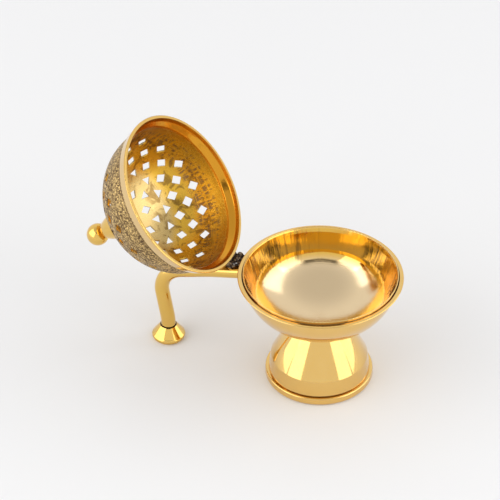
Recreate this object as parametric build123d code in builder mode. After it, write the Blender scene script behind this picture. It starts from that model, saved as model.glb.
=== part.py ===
"""Table-top incense burner: a footed bowl, a side handle that reaches the ground and a pierced domed lid.

Millimetres, +Z up. The origin is on the ground, on the axis of the bowl and foot. The handle and the
hinge lie towards -X, and the hinge axis runs along Y. The lid is exported standing open.
"""

import os
from math import acos, asin, cos, degrees, radians, sin, sqrt

from build123d import *

# Foot: a hollow turned bell, open below, with a bead where it stands
foot_radius = 29.2
foot_ring_inner_radius = 25.2
foot_bead_rounding = 1.5
foot_bead_height = 4.4
foot_groove_radius = 26.9
foot_band_radius = 27.3
foot_band_height = 5.0
foot_crease_radius = 26.0
foot_crease_height = 13.4
foot_bulge = 0.6
foot_wall = 2.0

# Seat between foot and bowl
seat_height = 34.6
seat_radius = 13.2

# Bowl: the lower half of an ellipsoid under a flat flange with a raised inner lip. Inside, a conical
# wall blends into an ellipsoidal floor.
bowl_radius = 41.0
bowl_depth = 29.2
bowl_widest_height = 64.4
bowl_boss_radius = 11.8
bowl_inner_radius = 39.8
bowl_inner_depth = 27.3
bowl_wall_low_radius = 37.0
bowl_wall_depth = 9.6
bowl_floor_radius = 40.4
bowl_floor_depth = 14.5
flange_radius = 44.0
ledge_height = 65.7
lip_outer_radius = 41.4
lip_inner_radius = 40.7
lip_height = 1.5
lip_groove = 0.4

# Screw that holds bowl and foot together
foot_stud_radius = 2.5
foot_stud_low = 26.0
foot_stud_socket = 1.4
foot_washer_radius = 6.5
foot_washer_thickness = 1.0
foot_nut_across_flats = 8.0
foot_nut_height = 4.0
thread_clearance = 0.05

# Handle: one bent rod, from the bowl's side down to a flared end on the ground
rod_radius = 4.0
rod_root = (-37.5, 58.0)
rod_arm = (-62.0, 52.8)
rod_corner = (-92.9, 44.2)
rod_knee = (-87.4, 12.0)
rod_leg_x = -87.4
rod_end_height = 8.9
rod_bends = (110.0, 15.6, 30.0)
handle_end_radius = 9.1
handle_end_height = 8.4
handle_end_top_radius = 4.8
handle_end_neck = 3.3
handle_stud_radius = 2.0
handle_stud_low = 2.6
handle_stud_high = 12.6

# Lid: an ellipsoidal dome above a tapered rim band
lid_gap = 0.1
lid_base_height = ledge_height + lid_gap
lid_rim_radius = 44.4
lid_rim_inner_radius = 42.7
lid_throat_radius = 42.2
lid_throat_height = 1.7
lid_band_top_radius = 42.4
lid_band_height = 6.0
dome_base = 6.3
dome_radius = 40.7
dome_rise = 36.6
lid_wall = 1.2

# Pierced rows: height angle, count, first angle round the lid, width, height and shape of the hole
pierced_rows = (
    (20.6, 16, 17.5, 5.8, 6.2, "diamond"),
    (29.8, 16, 5.9, 6.1, 6.0, "diamond"),
    (39.1, 16, 17.0, 5.5, 6.3, "diamond"),
    (47.2, 16, 5.5, 5.4, 3.8, "pointing down"),
    (60.2, 8, 39.7, 4.7, 4.8, "pointing up"),
    (66.0, 8, 17.3, 5.0, 6.8, "diamond"),
)

# Finial: a cone under a ball, on a stud with a nut inside the dome
cone_base_radius = 9.6
cone_middle = (7.6, 51.0)
cone_top_radius = 3.4
cone_top = 61.1
ball_radius = 6.1
ball_height = 64.9
finial_stud_radius = 2.0
finial_stud_low = 35.6
finial_stud_high = 66.0
lid_washer_radius = 5.0
lid_washer_thickness = 1.0
lid_nut_across_flats = 7.0
lid_nut_height = 3.2

# Hinge: two leaves with three knuckles on one pin
hinge_x = -46.6
hinge_height = 64.3
open_angle = 128.66
knuckle_radius = 1.7
pin_radius = 0.8
pin_head_radius = 1.25
pin_head_height = 0.4
pin_running_clearance = 0.06
hinge_width = 8.0
lid_knuckle_width = 2.8
knuckle_gap = 0.1
leaf_thickness = 1.2
lid_leaf_height = 71.3
lid_leaf_heel_height = 69.6

os.makedirs("parts", exist_ok=True)

hinge_axis = Axis((hinge_x, 0, hinge_height), (0, 1, 0))


def ellipse_angle(x, radius):
    """The parameter angle at which an ellipse of this radius is x from its axis."""
    return degrees(acos(x / radius))


def opened(piece):
    """The piece turned from its closed place to where the lid stands open."""
    return piece.rotate(hinge_axis, -open_angle)


def save(piece, name):
    piece.label = name
    export_step(piece, f"parts/{name}.step")


# Bowl, with a blind socket for the stud in the boss below it
with BuildPart() as bowl:
    with BuildSketch(Plane.XZ) as bowl_section:
        with BuildLine():
            outside = EllipticalCenterArc(
                (0, bowl_widest_height),
                bowl_radius,
                bowl_depth,
                -ellipse_angle(bowl_boss_radius, bowl_radius),
                arc_size=ellipse_angle(bowl_boss_radius, bowl_radius),
            )
            flange_edge = (flange_radius, ledge_height - 0.7)
            ThreePointArc(outside @ 1, (42.3, bowl_widest_height + 0.15), (43.5, ledge_height - 1.2))
            Line((43.5, ledge_height - 1.2), flange_edge)
            ThreePointArc(flange_edge, (43.95, ledge_height - 0.2), (43.6, ledge_height))
            Polyline(
                (43.6, ledge_height),
                (lip_outer_radius + lip_groove, ledge_height),
                (lip_outer_radius + lip_groove / 2, ledge_height - lip_groove),
                (lip_outer_radius, ledge_height),
                (lip_outer_radius - 0.05, ledge_height + lip_height - 0.3),
            )
            ThreePointArc(
                (lip_outer_radius - 0.05, ledge_height + lip_height - 0.3),
                ((lip_outer_radius + lip_inner_radius) / 2, ledge_height + lip_height),
                (lip_inner_radius, ledge_height + lip_height - 0.35),
            )
            Line((lip_inner_radius, ledge_height + lip_height - 0.35), (bowl_inner_radius, bowl_widest_height))
            inner_floor = EllipticalCenterArc(
                (0, bowl_widest_height),
                bowl_floor_radius,
                bowl_inner_depth,
                -90,
                arc_size=90 - degrees(asin(bowl_floor_depth / bowl_inner_depth)),
            )
            wall_top = Vector(bowl_inner_radius, bowl_widest_height)
            wall_low = Vector(bowl_wall_low_radius, bowl_widest_height - bowl_wall_depth)
            Line(wall_top, wall_low)
            Spline(wall_low, inner_floor @ 1, tangents=(wall_low - wall_top, (inner_floor % 1) * -1))
            Polyline(
                (0, bowl_widest_height - bowl_inner_depth),
                (0, seat_height),
                (bowl_boss_radius, seat_height),
                outside @ 0,
            )
        make_face()
    revolve(axis=Axis.Z)
    with BuildSketch(Plane.XY.offset(seat_height)):
        Circle(foot_stud_radius + thread_clearance)
    extrude(amount=foot_stud_socket, mode=Mode.SUBTRACT)
save(bowl.part, "bowl")

# The bowl's outside as a solid, to shape what is brazed against it
with BuildPart() as bowl_outside:
    with BuildSketch(Plane.XZ):
        with BuildLine():
            body = EllipticalCenterArc((0, bowl_widest_height), bowl_radius, bowl_depth, -90)
            ThreePointArc(body @ 1, (42.3, bowl_widest_height + 0.15), (43.5, ledge_height - 1.2))
            Polyline(
                (43.5, ledge_height - 1.2),
                (flange_radius, ledge_height - 0.7),
                (flange_radius, ledge_height + lip_height),
                (0, ledge_height + lip_height),
                body @ 0,
            )
        make_face()
    revolve(axis=Axis.Z)

# Foot
with BuildPart() as foot:
    with BuildSketch(Plane.XZ):
        with BuildLine():
            bell_bottom = Vector(foot_crease_radius, foot_crease_height)
            bell_top = Vector(seat_radius, seat_height - 0.6)
            middle = (bell_bottom + bell_top) / 2 + Vector(foot_bulge, foot_bulge / 2)
            inward = Vector(-foot_wall, 0)
            bead_bottom = (foot_radius - foot_bead_rounding, 0)
            ThreePointArc(bead_bottom, (foot_radius - 0.4, 0.55), (foot_radius, foot_bead_rounding + 0.3))
            Line((foot_radius, foot_bead_rounding + 0.3), (foot_radius - 0.2, foot_bead_height - 0.7))
            ThreePointArc(
                (foot_radius - 0.2, foot_bead_height - 0.7),
                (foot_radius - 0.4, foot_bead_height - 0.2),
                (foot_radius - 0.9, foot_bead_height),
            )
            Polyline(
                (foot_radius - 0.9, foot_bead_height),
                (foot_groove_radius + 0.4, foot_bead_height),
                (foot_groove_radius, foot_bead_height + 0.15),
                (foot_groove_radius, foot_band_height - 0.1),
                (foot_band_radius, foot_band_height),
                bell_bottom,
            )
            ThreePointArc(bell_bottom, middle, bell_top)
            Polyline(
                bell_top,
                (seat_radius - 0.6, seat_height),
                (foot_stud_radius + thread_clearance, seat_height),
                (foot_stud_radius + thread_clearance, seat_height - foot_wall),
                (seat_radius - foot_wall, seat_height - foot_wall),
            )
            ThreePointArc((seat_radius - foot_wall, seat_height - foot_wall), middle + inward, bell_bottom + inward)
            Polyline(
                bell_bottom + inward,
                (foot_ring_inner_radius, foot_bead_height),
                (foot_ring_inner_radius, 0),
                bead_bottom,
            )
        make_face()
    revolve(axis=Axis.Z)
save(foot.part, "foot")

# Stud, washer and nut inside the hollow foot
washer_top = seat_height - foot_wall
nut_top = washer_top - foot_washer_thickness

with BuildPart() as foot_stud:
    with BuildSketch(Plane.XY.offset(foot_stud_low)):
        Circle(foot_stud_radius)
    extrude(amount=seat_height + foot_stud_socket - 0.1 - foot_stud_low)
    chamfer(foot_stud.edges().filter_by(GeomType.CIRCLE).sort_by(Axis.Z)[0], 0.4)
save(foot_stud.part, "foot_stud")

with BuildPart() as foot_washer:
    with BuildSketch(Plane.XY.offset(washer_top)):
        Circle(foot_washer_radius)
        Circle(foot_stud_radius + thread_clearance, mode=Mode.SUBTRACT)
    extrude(amount=-foot_washer_thickness)
save(foot_washer.part, "foot_washer")

with BuildPart() as foot_nut:
    with BuildSketch(Plane.XY.offset(nut_top)):
        RegularPolygon(foot_nut_across_flats / 2, 6, major_radius=False)
        Circle(foot_stud_radius + thread_clearance, mode=Mode.SUBTRACT)
    extrude(amount=-foot_nut_height)
save(foot_nut.part, "foot_nut")

# Handle rod, its root shaped to the bowl and its lower end drilled for the stud
with BuildPart() as handle_rod:
    with BuildLine(Plane.XZ) as rod_path:
        FilletPolyline(
            rod_root, rod_arm, rod_corner, rod_knee, (rod_leg_x, rod_end_height), radius=list(rod_bends)
        )
    with BuildSketch(Plane(origin=rod_path.line @ 0, z_dir=rod_path.line % 0)):
        Circle(rod_radius)
    sweep()
    add(bowl_outside.part, mode=Mode.SUBTRACT)
    with BuildSketch(Plane(origin=(rod_leg_x, 0, rod_end_height), z_dir=(0, 0, 1))):
        Circle(handle_stud_radius + thread_clearance)
    extrude(amount=handle_stud_high + 0.2 - rod_end_height, mode=Mode.SUBTRACT)
save(handle_rod.part, "handle_rod")

# Flared end of the handle, turned about the leg's axis
leg_plane = Plane(origin=(rod_leg_x, 0, 0), x_dir=(1, 0, 0), z_dir=(0, -1, 0))
with BuildPart() as handle_end:
    with BuildSketch(leg_plane):
        with BuildLine():
            skirt = ThreePointArc((handle_end_radius - 1.0, 0), (handle_end_radius, 1.5), (8.5, 3.0))
            neck_bore = handle_stud_radius + thread_clearance
            ThreePointArc(skirt @ 1, (6.55, 5.7), (handle_end_top_radius, handle_end_height - 0.3))
            Polyline(
                (handle_end_top_radius, handle_end_height - 0.3),
                (handle_end_top_radius - 0.3, handle_end_height),
                (handle_end_neck, handle_end_height),
                (handle_end_neck, rod_end_height),
                (neck_bore, rod_end_height),
                (neck_bore, handle_stud_low - 0.1),
                (0, handle_stud_low - 0.1),
                (0, 0),
                skirt @ 0,
            )
        make_face()
    revolve(axis=Axis((rod_leg_x, 0, 0), (0, 0, 1)))
save(handle_end.part, "handle_end")

with BuildPart() as handle_stud:
    with BuildSketch(Plane(origin=(rod_leg_x, 0, handle_stud_low), z_dir=(0, 0, 1))):
        Circle(handle_stud_radius)
    extrude(amount=handle_stud_high - handle_stud_low)
save(handle_stud.part, "handle_stud")

# Lid shell, turned, pierced and then opened
dome_height = lid_base_height + dome_base
stud_hole = finial_stud_radius + thread_clearance
inner_dome_radius = dome_radius - lid_wall
inner_dome_rise = dome_rise - lid_wall


def pierced_plane(height_angle, round_angle):
    """A plane across the dome's wall, with x round the lid and y towards the top."""
    across = cos(radians(height_angle))
    up = sin(radians(height_angle))
    out = Vector(across * cos(radians(round_angle)), across * sin(radians(round_angle)), up)
    round_lid = Vector(-sin(radians(round_angle)), cos(radians(round_angle)), 0)
    start = Vector(0, 0, dome_height) + out * (inner_dome_rise - 6)
    return Plane(origin=start, x_dir=round_lid, z_dir=out)


def hole_outline(width, height, shape):
    if shape == "diamond":
        return ((width / 2, 0), (0, height / 2), (-width / 2, 0), (0, -height / 2))
    if shape == "pointing down":
        return ((-width / 2, height / 2), (0, -height / 2), (width / 2, height / 2))
    return ((-width / 2, -height / 2), (width / 2, -height / 2), (0, height / 2))


with BuildPart() as lid:
    with BuildSketch(Plane.XZ):
        with BuildLine():
            base = lid_base_height
            band_top = base + lid_band_height
            outer_dome = EllipticalCenterArc(
                (0, dome_height), dome_radius, dome_rise, arc_size=ellipse_angle(stud_hole, dome_radius)
            )
            inner_dome = EllipticalCenterArc(
                (0, dome_height),
                inner_dome_radius,
                inner_dome_rise,
                arc_size=ellipse_angle(stud_hole, inner_dome_radius),
            )
            Polyline((lid_rim_inner_radius, base), (lid_rim_radius - 0.4, base))
            ThreePointArc(
                (lid_rim_radius - 0.4, base), (lid_rim_radius - 0.05, base + 0.2), (lid_rim_radius - 0.1, base + 0.7)
            )
            Line((lid_rim_radius - 0.1, base + 0.7), (lid_band_top_radius + 0.2, band_top - 0.6))
            ThreePointArc(
                (lid_band_top_radius + 0.2, band_top - 0.6),
                (lid_band_top_radius, band_top - 0.1),
                (lid_band_top_radius - 0.5, band_top),
            )
            Polyline((lid_band_top_radius - 0.5, band_top), (dome_radius, band_top + 0.05), outer_dome @ 0)
            Line(outer_dome @ 1, inner_dome @ 1)
            Line((lid_rim_inner_radius, base), (lid_throat_radius, base + lid_throat_height))
            Spline(
                (lid_throat_radius, base + lid_throat_height),
                inner_dome @ 0,
                tangents=((-0.25, 1), (0, 1)),
            )
        make_face()
    revolve(axis=Axis.Z)
    for height_angle, count, first, width, height, shape in pierced_rows:
        planes = [pierced_plane(height_angle, first + k * 360 / count) for k in range(count)]
        with BuildSketch(*planes):
            with BuildLine():
                Polyline(*hole_outline(width, height, shape), close=True)
            make_face()
        extrude(amount=16, mode=Mode.SUBTRACT)
save(opened(lid.part), "lid")

# The lid's outside as a solid, to shape what sits on it
with BuildPart() as lid_outside:
    with BuildSketch(Plane.XZ):
        with BuildLine():
            dome_line = EllipticalCenterArc((0, dome_height), dome_radius, dome_rise)
            Polyline(
                dome_line @ 1,
                (0, base),
                (lid_rim_radius - 0.4, base),
            )
            ThreePointArc(
                (lid_rim_radius - 0.4, base), (lid_rim_radius - 0.05, base + 0.2), (lid_rim_radius - 0.1, base + 0.7)
            )
            Polyline(
                (lid_rim_radius - 0.1, base + 0.7),
                (lid_band_top_radius + 0.2, band_top - 0.6),
                (lid_band_top_radius + 0.2, band_top),
                (dome_radius, band_top + 0.05),
                dome_line @ 0,
            )
        make_face()
    revolve(axis=Axis.Z)

# Finial cone, hollowed below to sit on the dome
with BuildPart() as finial_cone:
    with BuildSketch(Plane.XZ):
        with BuildLine():
            cone_foot = base + dome_base + dome_rise - 2
            ThreePointArc(
                (cone_base_radius, cone_foot + 1),
                (cone_middle[0], base + cone_middle[1]),
                (cone_top_radius, base + cone_top),
            )
            Polyline(
                (cone_top_radius, base + cone_top),
                (stud_hole, base + cone_top),
                (stud_hole, cone_foot),
                (cone_base_radius, cone_foot),
                (cone_base_radius, cone_foot + 1),
            )
        make_face()
    revolve(axis=Axis.Z)
    add(lid_outside.part, mode=Mode.SUBTRACT)
save(opened(finial_cone.part), "finial_cone")

# Finial ball, flat where it meets the cone, with a blind hole for the stud
ball_centre = base + ball_height
ball_flat = base + cone_top
flat_radius = sqrt(ball_radius**2 - (ball_centre - ball_flat) ** 2)
with BuildPart() as finial_ball:
    with BuildSketch(Plane.XZ):
        with BuildLine():
            top = (0, ball_centre + ball_radius)
            ThreePointArc((flat_radius, ball_flat), (ball_radius, ball_centre), top)
            Polyline(
                top,
                (0, base + finial_stud_high + 0.1),
                (stud_hole, base + finial_stud_high + 0.1),
                (stud_hole, ball_flat),
                (flat_radius, ball_flat),
            )
        make_face()
    revolve(axis=Axis.Z)
save(opened(finial_ball.part), "finial_ball")

with BuildPart() as finial_stud:
    with BuildSketch(Plane.XY.offset(base + finial_stud_low)):
        Circle(finial_stud_radius)
    extrude(amount=finial_stud_high - finial_stud_low)
save(opened(finial_stud.part), "finial_stud")

# Washer and nut inside the dome; the washer's edge bears on the curved wall
dome_inside_top = dome_height + inner_dome_rise * sqrt(1 - (lid_washer_radius / inner_dome_radius) ** 2)
with BuildPart() as lid_washer:
    with BuildSketch(Plane.XY.offset(dome_inside_top)):
        Circle(lid_washer_radius)
        Circle(stud_hole, mode=Mode.SUBTRACT)
    extrude(amount=-lid_washer_thickness)
save(opened(lid_washer.part), "lid_washer")

with BuildPart() as lid_nut:
    with BuildSketch(Plane.XY.offset(dome_inside_top - lid_washer_thickness)):
        RegularPolygon(lid_nut_across_flats / 2, 6, major_radius=False)
        Circle(stud_hole, mode=Mode.SUBTRACT)
    extrude(amount=-lid_nut_height)
save(opened(lid_nut.part), "lid_nut")

# Hinge leaves. Each is a plate whose knuckles are cut clear of the other's.
half_width = hinge_width / 2
half_knuckle = lid_knuckle_width / 2
clear_of_knuckle = knuckle_radius + knuckle_gap
hinge_plane = Plane(origin=(hinge_x, 0, hinge_height), x_dir=(1, 0, 0), z_dir=(0, -1, 0))

with BuildPart() as hinge_bowl_leaf:
    with BuildSketch(hinge_plane):
        Circle(knuckle_radius)
        with Locations((4, -0.35)):
            Rectangle(8, leaf_thickness)
    extrude(amount=half_width, both=True)
    with BuildSketch(hinge_plane):
        Circle(clear_of_knuckle)
    extrude(amount=half_knuckle + knuckle_gap, both=True, mode=Mode.SUBTRACT)
    with BuildSketch(hinge_plane):
        Circle(pin_radius + 0.01)
    extrude(amount=half_width, both=True, mode=Mode.SUBTRACT)
    add(bowl_outside.part, mode=Mode.SUBTRACT)
save(hinge_bowl_leaf.part, "hinge_bowl_leaf")

with BuildPart() as hinge_lid_leaf:
    with BuildSketch(hinge_plane):
        leaf_foot = base - hinge_height
        with BuildLine():
            Polyline(
                (-knuckle_radius, leaf_foot),
                (-knuckle_radius, lid_leaf_heel_height - hinge_height),
                (1.8, lid_leaf_height - hinge_height),
                (6.0, lid_leaf_height - hinge_height),
                (4.0, leaf_foot),
                close=True,
            )
        make_face()
    extrude(amount=half_width, both=True)
    with BuildSketch(hinge_plane):
        Circle(clear_of_knuckle)
    extrude(amount=half_width, both=True, mode=Mode.SUBTRACT)
    with BuildSketch(hinge_plane):
        Circle(knuckle_radius)
        with Locations((-knuckle_radius / 2, leaf_foot)):
            Rectangle(knuckle_radius, 2 * leaf_foot)
    extrude(amount=half_knuckle, both=True)
    with BuildSketch(hinge_plane):
        Circle(pin_radius + pin_running_clearance)
    extrude(amount=half_width, both=True, mode=Mode.SUBTRACT)
    add(lid_outside.part, mode=Mode.SUBTRACT)
save(opened(hinge_lid_leaf.part), "hinge_lid_leaf")

with BuildPart() as hinge_pin:
    with BuildSketch(hinge_plane):
        Circle(pin_radius)
    extrude(amount=half_width, both=True)
    with BuildSketch(hinge_plane.offset(half_width), hinge_plane.offset(-half_width - pin_head_height)):
        Circle(pin_head_radius)
    extrude(amount=pin_head_height)
save(hinge_pin.part, "hinge_pin")
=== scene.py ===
"""A brass table burner with a pierced, engraved lid standing open, in a plain pale studio."""

from math import cos, pi, radians, sin

import bpy
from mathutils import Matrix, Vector

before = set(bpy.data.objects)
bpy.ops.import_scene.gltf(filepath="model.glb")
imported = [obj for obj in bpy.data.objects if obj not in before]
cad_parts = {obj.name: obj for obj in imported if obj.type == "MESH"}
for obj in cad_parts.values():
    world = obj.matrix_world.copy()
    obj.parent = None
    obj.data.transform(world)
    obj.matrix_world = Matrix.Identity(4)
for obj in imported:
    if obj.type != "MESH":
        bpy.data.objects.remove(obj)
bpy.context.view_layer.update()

# Pairs of numbers below are the two ends of a soft edge, or of a band.

# The lid's place when it stands open, in metres and degrees
HINGE = (-0.0466, 0.0, 0.0643)
OPEN_ANGLE = 128.66
LID_BASE = 0.0658

# The bowl, in millimetres: the height of its widest ring, its radius over its depth at the middle
# of its wall, the radius that parts its inside from its outside, and heights inside it
BOWL_WIDEST = 64.4
BOWL_STRETCH = 1.42
BOWL_INSIDE = (40.35, 40.65)
BOWL_FLOOR = (47, 53)
BOWL_WALL = (48, 54)
LIP_CREASE = (41.25, 41.95)
LIP_CREASE_TOP = (65.3, 65.9)

# How far to each side of the bowl's middle its painted dark streaks begin, in metres
BOWL_SIDES = (0.010, 0.022)

# The foot, in millimetres: the radius and the slope of its hollow, and the crease over its bead
HOLLOW_RADIUS = (24.9, 25.3)
HOLLOW_SLOPE = 0.62
HOLLOW_EDGE = (30.5, 31.5)
FOOT_CREASE = (4.35, 4.95)
FOOT_CREASE_RADIUS = (26.95, 27.2)

# The seam between the handle's bar and its flared end, in millimetres from the ground
HANDLE_SEAM = 8.65

# The closed lid, in millimetres from its rim and its axis
DOME_BASE = 6.3
MIDDLE_RADIUS = 40.1
MIDDLE_RISE = 36.0
DOME_OUTSIDE = (6.1, 6.4)
DOME_INSIDE = (5.0, 7.0)
LID_GROOVE = (5.85, 6.95)
THROAT_RADIUS = (42.3, 42.6)
THROAT_TOP = (5.8, 6.6)
RIM_EDGE = (0.3, 1.2)
RIM_BAND = (0.6, 1.6)

# Places on the dome, in degrees above its base
DASHED = (7.0, 25)
HEAT_MARKED = (12, 60)
PALE_TOP = (38, 50)
LATTICE = (14, 70)
UPPER_RING = (12.0, 13.0)
LOWER_RING = (1.6, 2.6)

# The pierced pattern: degrees up to the first row, from row to row, and round to the first hole; the
# holes in a row; and how far a lattice line lies from a line through the holes, over their spacing
FIRST_ROW = 20.6
ROW_STEP = 9.2
ROW_TURN = 17.4
HOLES_ROUND = 16
LATTICE_LINE = 0.21

# The camera looks at a point between lid and bowl
VIEW_AZIMUTH = 20.29
VIEW_ELEVATION = 37.78
VIEW_DISTANCE = 1.5744
VIEW_TARGET = (-0.0350, -0.0129, 0.0827)
LENS = 216

# Softboxes: degrees round from the camera, width in metres and power in watts
SOFTBOXES = {
    "softbox_left": (-56, 0.92, 5.5),
    "softbox_left_outer": (-90, 0.95, 5.0),
    "softbox_right": (58, 0.92, 5.0),
    "softbox_right_outer": (96, 1.2, 6.0),
}
SOFTBOX_ELEVATION = 26
SOFTBOX_DISTANCE = 1.6
SOFTBOX_HEIGHT = 1.42
SOFTBOX_TARGET = (0, 0, 0.05)

# The room: upward and sideways parts of the direction looked in
ROOM_COLOUR = (0.96, 0.96, 0.97)
ROOM_STRENGTH = 0.97
OVERHEAD = (0.70, 0.98)
OVERHEAD_SHADE = 0.75
GAP_HEIGHT = (0.68, 0.80)
GAP_HALF_WIDTH = (0.36, 0.40)
GAP_DARKNESS = -0.8

LACQUER = 0.7
THIN_LACQUER = 0.25
BRASS = (0.83, 0.54, 0.165)
BRASS_WARM = (0.80, 0.50, 0.135)
BRASS_RICH = (0.83, 0.545, 0.115)
BRASS_PALE = (0.80, 0.61, 0.36)
BRASS_DULL = (0.60, 0.43, 0.17)
BRASS_DEEP = (0.76, 0.455, 0.055)
PAINTED_SHADE_AMBER = (0.72, 0.33, 0.03)
CHASED = (0.86, 0.60, 0.24)
DARK_BROWN = (0.22, 0.12, 0.03)
HEAT_GREY = (0.20, 0.13, 0.09)
# Dark patina for the engraving, the handle's seam and the foot's crease and hollow; also painted
# shade in the bowl's lip crease
PATINA_AND_PAINTED_SHADE = (0.070, 0.036, 0.026)
STEEL = (0.55, 0.54, 0.52)
STEEL_DARK = (0.20, 0.18, 0.16)
AGED = (0.34, 0.24, 0.15)
AGED_DARK = (0.035, 0.022, 0.016)
FLOOR = (0.82, 0.82, 0.82, 1)


class Graph:
    """Short names for building a material's nodes."""

    def __init__(self, tree):
        self.tree = tree

    def node(self, kind, **settings):
        made = self.tree.nodes.new(kind)
        for name, value in settings.items():
            setattr(made, name, value)
        return made

    def put(self, value, socket):
        if isinstance(value, bpy.types.NodeSocket):
            self.tree.links.new(value, socket)
        else:
            socket.default_value = value

    def math(self, operation, *values):
        made = self.node("ShaderNodeMath", operation=operation)
        for i, value in enumerate(values):
            self.put(value, made.inputs[i])
        return made.outputs[0]

    def times(self, first, *others):
        for other in others:
            first = self.math("MULTIPLY", first, other)
        return first

    def plus(self, a, b):
        return self.math("ADD", a, b)

    def most(self, a, b):
        return self.math("MAXIMUM", a, b)

    def distance(self, a, b):
        """The size of a - b."""
        return self.math("ABSOLUTE", self.math("SUBTRACT", a, b))

    def length(self, x, y):
        return self.math("SQRT", self.plus(self.times(x, x), self.times(y, y)))

    def angle(self, y, x):
        """The direction of (x, y), in degrees."""
        return self.times(self.math("ARCTAN2", y, x), 180 / pi)

    def vector(self, operation, *values):
        made = self.node("ShaderNodeVectorMath", operation=operation)
        for i, value in enumerate(values):
            self.put(value, made.inputs[i])
        return made.outputs["Value"] if operation == "DOT_PRODUCT" else made.outputs[0]

    def scaled(self, vector, x, y, z):
        return self.vector("MULTIPLY", vector, (x, y, z))

    def millimetres(self, vector):
        return self.scaled(vector, 1000, 1000, 1000)

    def parts(self, vector):
        made = self.node("ShaderNodeSeparateXYZ")
        self.put(vector, made.inputs[0])
        return made.outputs

    def step(self, value, low, high, out_low=0.0, out_high=1.0):
        """out_low below low, out_high above high, and smooth between."""
        made = self.node("ShaderNodeMapRange", interpolation_type="SMOOTHSTEP")
        self.put(value, made.inputs["Value"])
        self.put(low, made.inputs["From Min"])
        self.put(high, made.inputs["From Max"])
        self.put(out_low, made.inputs["To Min"])
        self.put(out_high, made.inputs["To Max"])
        return made.outputs["Result"]

    def below(self, value, low, high):
        """1 below low, 0 above high, and smooth between."""
        return self.step(value, low, high, 1, 0)

    def band(self, value, low, high, soft):
        """1 between low and high, 0 outside."""
        rising = self.step(value, low - soft, low + soft)
        return self.times(rising, self.below(value, high - soft, high + soft))

    def colour_mix(self, factor, a, b):
        made = self.node("ShaderNodeMix", data_type="RGBA")
        for value, socket in ((factor, made.inputs[0]), (a, made.inputs[6]), (b, made.inputs[7])):
            self.put((*value, 1.0) if isinstance(value, tuple) else value, socket)
        return made.outputs[2]

    def noise(self, vector, scale, detail=2.0, roughness=0.5, distortion=0.0):
        made = self.node("ShaderNodeTexNoise")
        self.put(vector, made.inputs["Vector"])
        made.inputs["Scale"].default_value = scale
        made.inputs["Detail"].default_value = detail
        made.inputs["Roughness"].default_value = roughness
        made.inputs["Distortion"].default_value = distortion
        return made.outputs["Fac"]

    def streaks(self, x, y=0.0, z=0.0, detail=2.0, roughness=0.5):
        """Noise over coordinates that each have their own scale."""
        joined = self.node("ShaderNodeCombineXYZ")
        for i, value in enumerate((x, y, z)):
            self.put(value, joined.inputs[i])
        return self.noise(joined.outputs[0], 1.0, detail, roughness)

    def swirl(self, vector, scale):
        """A smooth random vector that changes over 1 / scale."""
        made = self.node("ShaderNodeTexNoise")
        self.put(vector, made.inputs["Vector"])
        made.inputs["Scale"].default_value = scale
        return made.outputs["Color"]

    def cell_edges(self, vector, scale):
        """Distance to the nearest edge of a pattern of irregular cells."""
        made = self.node("ShaderNodeTexVoronoi", feature="DISTANCE_TO_EDGE")
        self.put(vector, made.inputs["Vector"])
        made.inputs["Scale"].default_value = scale
        return made.outputs["Distance"]

    def bump(self, height, depth, normal=None):
        """A normal raised by height, of this depth in metres, over the normal given."""
        made = self.node("ShaderNodeBump")
        made.inputs["Strength"].default_value = 1.0
        made.inputs["Distance"].default_value = depth
        self.put(height, made.inputs["Height"])
        if normal is not None:
            self.put(normal, made.inputs["Normal"])
        return made.outputs[0]


def metal(name, lacquer=0.0):
    """A new metal material, its graph, its shader and the object's own coordinates in metres."""
    made = bpy.data.materials.new(name)
    made.use_nodes = True
    g = Graph(made.node_tree)
    shader = made.node_tree.nodes["Principled BSDF"]
    shader.inputs["Metallic"].default_value = 1.0
    shader.inputs["Coat Weight"].default_value = lacquer
    shader.inputs["Coat Roughness"].default_value = 0.04
    place = g.node("ShaderNodeTexCoord").outputs["Object"]
    return made, g, shader, place


def surface(g, shader, tint, roughness, normal):
    g.put(tint, shader.inputs["Base Color"])
    g.put(roughness, shader.inputs["Roughness"])
    g.put(normal, shader.inputs["Normal"])


def polish(g, place, smooth=0.045, worn=0.12):
    """Roughness and heights of a hand-buffed surface: faint clouds, hairlines and shallow waves."""
    clouds = g.noise(place, 90, 3, 0.6)
    hairs = g.noise(g.scaled(place, 500, 500, 4500), 1.0, 2, 0.7)
    wear = g.math("MULTIPLY_ADD", hairs, 0.5, g.times(clouds, 0.5))
    roughness = g.step(wear, 0.35, 0.65, smooth, worn)
    waves = g.noise(place, 55, 1, 0.4)
    return roughness, hairs, waves


def mottled_brass(g, place):
    return g.colour_mix(g.noise(place, 140, 3), BRASS, BRASS_WARM)


def from_axis(g, place):
    """Distance from the bowl's axis, and height, in millimetres."""
    x, y, z = g.parts(g.millimetres(place))
    return g.length(x, y), z


def lid_place(g, place):
    """The closed lid's own coordinates in millimetres, with zero height at its rim."""
    turned = g.node("ShaderNodeVectorRotate", rotation_type="Y_AXIS")
    g.put(place, turned.inputs["Vector"])
    turned.inputs["Center"].default_value = HINGE
    turned.inputs["Angle"].default_value = radians(OPEN_ANGLE)
    closed = g.vector("SUBTRACT", turned.outputs[0], (0, 0, LID_BASE))
    return g.millimetres(closed)


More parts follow.
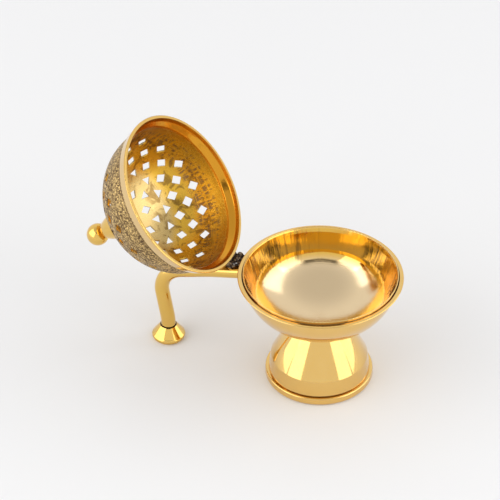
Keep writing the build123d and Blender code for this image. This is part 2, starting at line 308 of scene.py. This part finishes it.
def bowl_metal():
    """Outside: even polish. Inside: a pale floor, and painted reflection on the wall, deep orange
    with dark streaks.
    """
    made, g, shader, place = metal("polished_bowl", LACQUER)
    roughness, hairs, waves = polish(g, place)
    r, z = from_axis(g, place)
    x, y, _ = g.parts(place)
    round_bowl = g.angle(y, x)
    sunk = g.times(g.most(g.math("SUBTRACT", BOWL_WIDEST, z), 0.0), BOWL_STRETCH)
    inside = g.below(g.length(r, sunk), *BOWL_INSIDE)
    floor = g.times(inside, g.below(z, *BOWL_FLOOR))
    wall = g.times(inside, g.step(z, *BOWL_WALL))
    sides = g.step(g.math("ABSOLUTE", x), *BOWL_SIDES)
    # Painted reflection: dark streaks on the upper inside wall, to each side of the middle
    streaks = g.streaks(g.times(round_bowl, 0.16), g.times(z, 0.02), detail=3, roughness=0.6)
    painted_dark_streaks = g.times(g.step(streaks, 0.52, 0.62), wall, sides)
    # Painted shade: a dark line in the crease where the lip meets the ledge
    crease = g.times(g.band(r, *LIP_CREASE, 0.1), g.step(z, *LIP_CREASE_TOP, 1, 0.35))

    # Painted reflection: the upper inside wall is tinted deep orange, then streaked dark brown, in
    # place of reflections
    tint = g.colour_mix(g.times(wall, 0.85), mottled_brass(g, place), BRASS_DEEP)
    tint = g.colour_mix(g.times(painted_dark_streaks, 0.7), tint, DARK_BROWN)
    tint = g.colour_mix(floor, tint, BRASS_PALE)
    # Painted shade in the lip's crease
    tint = g.colour_mix(g.times(crease, 0.9), tint, PATINA_AND_PAINTED_SHADE)
    roughness = g.plus(roughness, g.times(floor, 0.05))

    turned = g.streaks(g.times(r, 2.4), detail=3, roughness=0.7)
    normal = g.bump(g.times(turned, g.step(floor, 0, 1, 0.25, 1.0)), 0.00004)
    normal = g.bump(g.times(streaks, g.times(wall, sides)), 0.0004, normal)
    normal = g.bump(waves, 0.00009, normal)
    normal = g.bump(hairs, 0.0000015, normal)
    surface(g, shader, tint, roughness, normal)
    return made


def foot_metal():
    """Polished outside, darker in the crease over the bead and, in patches, in the hollow
    underneath.
    """
    made, g, shader, place = metal("polished_foot", LACQUER)
    roughness, hairs, waves = polish(g, place)
    r, z = from_axis(g, place)
    sloped = g.math("MULTIPLY_ADD", z, HOLLOW_SLOPE, r)
    hidden = g.times(g.below(r, *HOLLOW_RADIUS), g.below(sloped, *HOLLOW_EDGE))
    crease = g.times(g.band(z, *FOOT_CREASE, 0.08), g.below(r, *FOOT_CREASE_RADIUS))
    darkening = g.most(crease, g.times(hidden, g.noise(place, 200, 4)))
    tint = g.colour_mix(darkening, mottled_brass(g, place), PATINA_AND_PAINTED_SHADE)
    roughness = g.plus(roughness, g.times(darkening, 0.35))

    turned = g.streaks(g.times(z, 3.0), detail=3, roughness=0.7)
    normal = g.bump(turned, 0.000004)
    normal = g.bump(waves, 0.00008, normal)
    normal = g.bump(hairs, 0.0000015, normal)
    surface(g, shader, tint, roughness, normal)
    return made


def plain_polish(name, dirt_height=None):
    """Polished brass for small pieces; dirt gathers near dirt_height (mm) if given."""
    made, g, shader, place = metal(name, THIN_LACQUER)
    roughness, hairs, waves = polish(g, place, 0.05, 0.14)
    tint = g.colour_mix(g.noise(place, 160, 3), BRASS_RICH, BRASS_WARM)
    if dirt_height is not None:
        height = g.parts(g.millimetres(place))[2]
        darkening = g.band(height, dirt_height - 0.35, dirt_height + 0.3, 0.15)
        tint = g.colour_mix(darkening, tint, PATINA_AND_PAINTED_SHADE)
    normal = g.bump(waves, 0.0001)
    normal = g.bump(hairs, 0.0000025, normal)
    surface(g, shader, tint, roughness, normal)
    return made


def scrollwork(g, own, round_lid, height_angle, outside):
    """How deep the dome is cut: winding lines, leaves, a grained ground, a lattice and two rings."""
    winding = g.math("FRACT", g.times(g.noise(own, 0.26, 1, 0.5, 0.5), 7.0))
    winding = g.below(g.distance(winding, 0.5), 0.10, 0.22)
    swirled = g.vector("ADD", own, g.scaled(g.swirl(own, 0.6), 1.6, 1.6, 1.6))
    leaves = g.below(g.cell_edges(swirled, 0.58), 0.08, 0.17)
    grains = g.below(g.noise(own, 0.95, 2, 0.6), 0.46, 0.52)

    # The lattice runs both ways between the pierced holes
    turn = g.math("MULTIPLY_ADD", round_lid, HOLES_ROUND / 360, -ROW_TURN * HOLES_ROUND / 360)
    row = g.math("MULTIPLY_ADD", height_angle, 1 / ROW_STEP, -FIRST_ROW / ROW_STEP)
    ways = []
    for slant in (0.5, -0.5):
        across = g.math("FRACT", g.math("MULTIPLY_ADD", row, slant, turn))
        off_line = g.distance(g.distance(across, 0.5), LATTICE_LINE)
        ways.append(g.below(off_line, 0.012, 0.035))
    lattice = g.times(g.most(*ways), g.band(height_angle, *LATTICE, 1.0))
    upper_ring = g.band(height_angle, *UPPER_RING, 0.2)
    lower_ring = g.band(height_angle, *LOWER_RING, 0.2)

    cut = g.most(g.times(winding, 0.95), g.times(leaves, 0.9))
    cut = g.most(g.times(cut, g.step(grains, 0, 1, 0.55, 1.0)), g.times(grains, 0.85))
    cut = g.most(cut, g.times(g.most(lattice, g.most(upper_ring, lower_ring)), 0.85))
    wear = g.step(g.noise(own, 0.11, 2), 0.3, 0.6, 0.8, 1.0)
    return g.times(cut, outside, wear)


def lid_metal():
    """Outside: chased scrollwork, dark in its hollows. Inside: turned, deeper orange near the rim,
    and painted shade in the throat.
    """
    made, g, shader, place = metal("engraved_lid")
    roughness, _, waves = polish(g, place)
    own = lid_place(g, place)
    x, y, h = g.parts(own)
    r = g.length(x, y)
    up = g.math("SUBTRACT", h, DOME_BASE)
    round_lid = g.angle(y, x)
    height_angle = g.angle(up, r)
    shell = g.length(r, g.times(up, MIDDLE_RADIUS / MIDDLE_RISE))
    outside = g.step(shell, MIDDLE_RADIUS, MIDDLE_RADIUS + 0.2)
    outside = g.times(outside, g.step(h, *DOME_OUTSIDE))
    inside = g.below(shell, MIDDLE_RADIUS - 0.2, MIDDLE_RADIUS)
    inside = g.times(inside, g.step(h, *DOME_INSIDE))
    throat = g.times(g.below(r, *THROAT_RADIUS), g.below(h, *THROAT_TOP))
    rim = g.times(g.step(r, *THROAT_RADIUS), g.step(h, *RIM_BAND, 0, 0.6))
    above_edge = g.step(h, *RIM_EDGE)
    deep = g.times(above_edge, g.below(height_angle, *PALE_TOP), g.most(inside, throat))
    cut = scrollwork(g, own, round_lid, height_angle, outside)
    groove = g.step(shell, MIDDLE_RADIUS, MIDDLE_RADIUS + 0.3)
    groove = g.times(g.band(h, *LID_GROOVE, 0.12), groove)

    # Inside: rings broken into dashes near the rim, and brown heat marks round the holes
    ribs = g.streaks(g.times(round_lid, 0.42), g.times(height_angle, 0.10), roughness=0.7)
    bands = g.streaks(g.times(height_angle, 0.45), g.times(round_lid, 0.02), 3.0, roughness=0.6)
    dashes = g.times(g.step(ribs, 0.48, 0.56), g.step(bands, 0.42, 0.52, 0.2, 1.0))
    dashes = g.times(dashes, g.times(inside, g.band(height_angle, *DASHED, 2.0)))
    marks = g.step(g.noise(own, 0.16, 4, 0.6, 0.8), 0.50, 0.62)
    marks = g.times(marks, g.band(height_angle, *HEAT_MARKED, 6.0), inside)

    tint = mottled_brass(g, place)
    tint = g.colour_mix(g.times(inside, g.step(height_angle, *PALE_TOP)), tint, BRASS_DULL)
    # Painted reflection: the rim band outside the throat is tinted pale
    tint = g.colour_mix(rim, tint, BRASS_PALE)
    tint = g.colour_mix(deep, tint, BRASS_DEEP)
    # Painted shade: the throat under the rim is tinted amber, dimming a softbox's reflection there
    tint = g.colour_mix(g.times(throat, above_edge), tint, PAINTED_SHADE_AMBER)
    tint = g.colour_mix(g.times(marks, 0.75), tint, DARK_BROWN)
    tint = g.colour_mix(g.times(dashes, 0.8), tint, HEAT_GREY)
    tint = g.colour_mix(outside, tint, CHASED)
    tint = g.colour_mix(g.most(cut, g.times(groove, 0.95)), tint, PATINA_AND_PAINTED_SHADE)
    for mask, added in ((outside, 0.20), (inside, 0.20), (throat, 0.10), (cut, 0.25)):
        roughness = g.plus(roughness, g.times(mask, added))

    turned = g.streaks(g.times(height_angle, 2.2), roughness=0.6)
    normal = g.bump(g.math("SUBTRACT", 1.0, cut), 0.00022)
    normal = g.bump(g.times(g.plus(turned, dashes), inside), 0.00004, normal)
    normal = g.bump(waves, 0.00008, normal)
    surface(g, shader, tint, roughness, normal)
    return made


def aged_metal(name, colour, dark):
    """Oxidised small fittings, with brighter rubbed spots."""
    made, g, shader, place = metal(name)
    spots = g.step(g.noise(place, 900, 4, 0.65), 0.50, 0.62)
    tint = g.colour_mix(spots, dark, colour)
    roughness = g.step(spots, 0, 1, 0.55, 0.25)
    normal = g.bump(g.noise(place, 1500, 4, 0.7), 0.00008)
    surface(g, shader, tint, roughness, normal)
    return made


materials = {
    "bowl": bowl_metal(),
    "foot": foot_metal(),
    "lid": lid_metal(),
    "handle_rod": plain_polish("polished_handle"),
    "handle_end": plain_polish("polished_handle_end", HANDLE_SEAM),
    "finial_cone": plain_polish("polished_cone"),
    "finial_ball": plain_polish("polished_ball"),
    "hinge_bowl_leaf": aged_metal("aged_bowl_leaf", AGED, AGED_DARK),
    "hinge_lid_leaf": aged_metal("aged_lid_leaf", AGED, AGED_DARK),
    "hinge_pin": aged_metal("hinge_pin_metal", STEEL, AGED_DARK),
    "lid_washer": aged_metal("lid_washer_metal", BRASS_DULL, AGED),
    "lid_nut": aged_metal("lid_nut_metal", BRASS_DULL, AGED),
    "finial_stud": aged_metal("steel_finial_stud", STEEL, STEEL_DARK),
    "foot_stud": aged_metal("steel_screw", STEEL, STEEL_DARK),
    "foot_washer": aged_metal("steel_washer", STEEL, STEEL_DARK),
    "foot_nut": aged_metal("steel_nut", STEEL, STEEL_DARK),
    "handle_stud": aged_metal("steel_handle_stud", STEEL, STEEL_DARK),
}
for name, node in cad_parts.items():
    for slot in node.material_slots:
        slot.material = materials[name]


def around(azimuth, elevation, distance, target=(0, 0, 0)):
    """A point seen from target at this azimuth and elevation; azimuth 0 is towards -Y."""
    level = cos(radians(elevation))
    towards_y = -cos(radians(azimuth)) * level
    out = Vector((sin(radians(azimuth)) * level, towards_y, sin(radians(elevation))))
    return Vector(target) + out * distance


def aimed(thing, place, target):
    """Puts a camera or a lamp in the scene at place, looking at target."""
    bpy.context.collection.objects.link(thing)
    thing.location = place
    thing.rotation_euler = (Vector(target) - place).to_track_quat("-Z", "Y").to_euler()


camera_data = bpy.data.cameras.new("camera")
camera_data.lens = LENS
camera_data.sensor_width = 36
camera_data.clip_start = 0.1
camera = bpy.data.objects.new("camera", camera_data)
camera_place = around(VIEW_AZIMUTH, VIEW_ELEVATION, VIEW_DISTANCE, VIEW_TARGET)
aimed(camera, camera_place, VIEW_TARGET)
bpy.context.scene.camera = camera

for name, (turn, width, power) in SOFTBOXES.items():
    lamp_data = bpy.data.lights.new(name, "AREA")
    lamp_data.shape = "RECTANGLE"
    lamp_data.size = width
    lamp_data.size_y = SOFTBOX_HEIGHT
    lamp_data.energy = power
    lamp_place = around(VIEW_AZIMUTH + turn, SOFTBOX_ELEVATION, SOFTBOX_DISTANCE)
    aimed(bpy.data.objects.new(name, lamp_data), lamp_place, SOFTBOX_TARGET)

bpy.ops.mesh.primitive_plane_add(size=12, location=(0, 0, 0))
floor = bpy.context.object
floor.name = "floor"
floor_material = bpy.data.materials.new("pale_floor")
floor_material.use_nodes = True
floor_shader = floor_material.node_tree.nodes["Principled BSDF"]
floor_shader.inputs["Base Color"].default_value = FLOOR
floor_shader.inputs["Roughness"].default_value = 0.9
floor_shader.inputs["Specular IOR Level"].default_value = 0.1
floor.data.materials.append(floor_material)

# An even pale room, darker overhead, with a dark gap high on the camera's side
world = bpy.data.worlds.new("room")
bpy.context.scene.world = world
world.use_nodes = True
room = Graph(world.node_tree)
ray = room.node("ShaderNodeTexCoord").outputs["Generated"]
height = room.parts(ray)[2]
front = Vector((sin(radians(VIEW_AZIMUTH)), -cos(radians(VIEW_AZIMUTH)), 0))
towards = room.vector("DOT_PRODUCT", ray, tuple(front))
aside = room.math("ABSOLUTE", room.vector("DOT_PRODUCT", ray, (-front.y, front.x, 0)))
gap = room.times(room.band(height, *GAP_HEIGHT, 0.012), room.below(aside, *GAP_HALF_WIDTH))
gap = room.times(gap, room.step(towards, 0.0, 0.1))
shade = room.step(height, *OVERHEAD, 1.0, OVERHEAD_SHADE)
shade = room.times(shade, room.math("MULTIPLY_ADD", gap, GAP_DARKNESS, 1.0))
background = world.node_tree.nodes["Background"]
room.put(room.colour_mix(shade, (0.0, 0.0, 0.0), ROOM_COLOUR), background.inputs["Color"])
background.inputs["Strength"].default_value = ROOM_STRENGTH

bpy.context.scene.view_settings.view_transform = "Standard"
